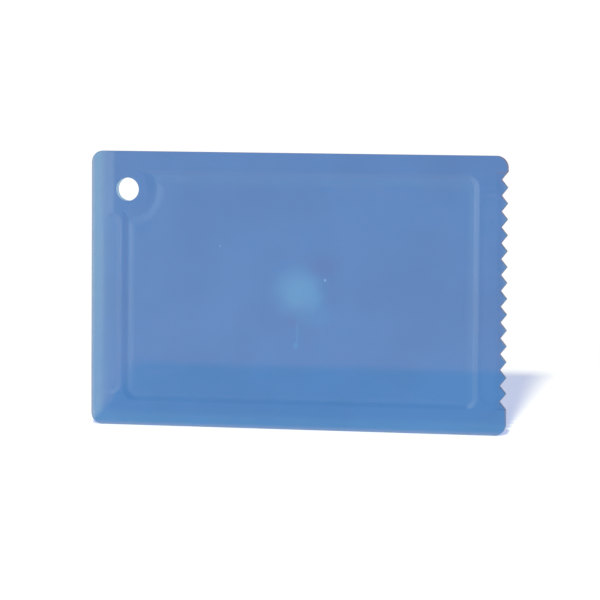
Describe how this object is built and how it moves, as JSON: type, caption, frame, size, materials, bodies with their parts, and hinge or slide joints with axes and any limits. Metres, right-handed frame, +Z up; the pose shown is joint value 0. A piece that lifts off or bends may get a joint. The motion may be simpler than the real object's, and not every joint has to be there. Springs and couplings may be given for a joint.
{
  "type": "windshield ice scraper",
  "caption": "Pocket card ice scraper of clear blue plastic, with a smooth blade on one short side, a row of teeth on the other and a hanging hole.",
  "frame": {"origin": "under the middle of the card, on the surface that it stands on", "axes": "+X along the card from the smooth blade to the teeth, +Y from the front face to the back, +Z up"},
  "size_m": [0.1, 0.0024, 0.065],
  "materials": {
    "clear_blue_plastic": "satin moulded surface, clear enough for a shadow behind it to show through"
  },
  "bodies": {
    "root": {"scraper_card": "clear_blue_plastic"}
  },
  "joints": []
}
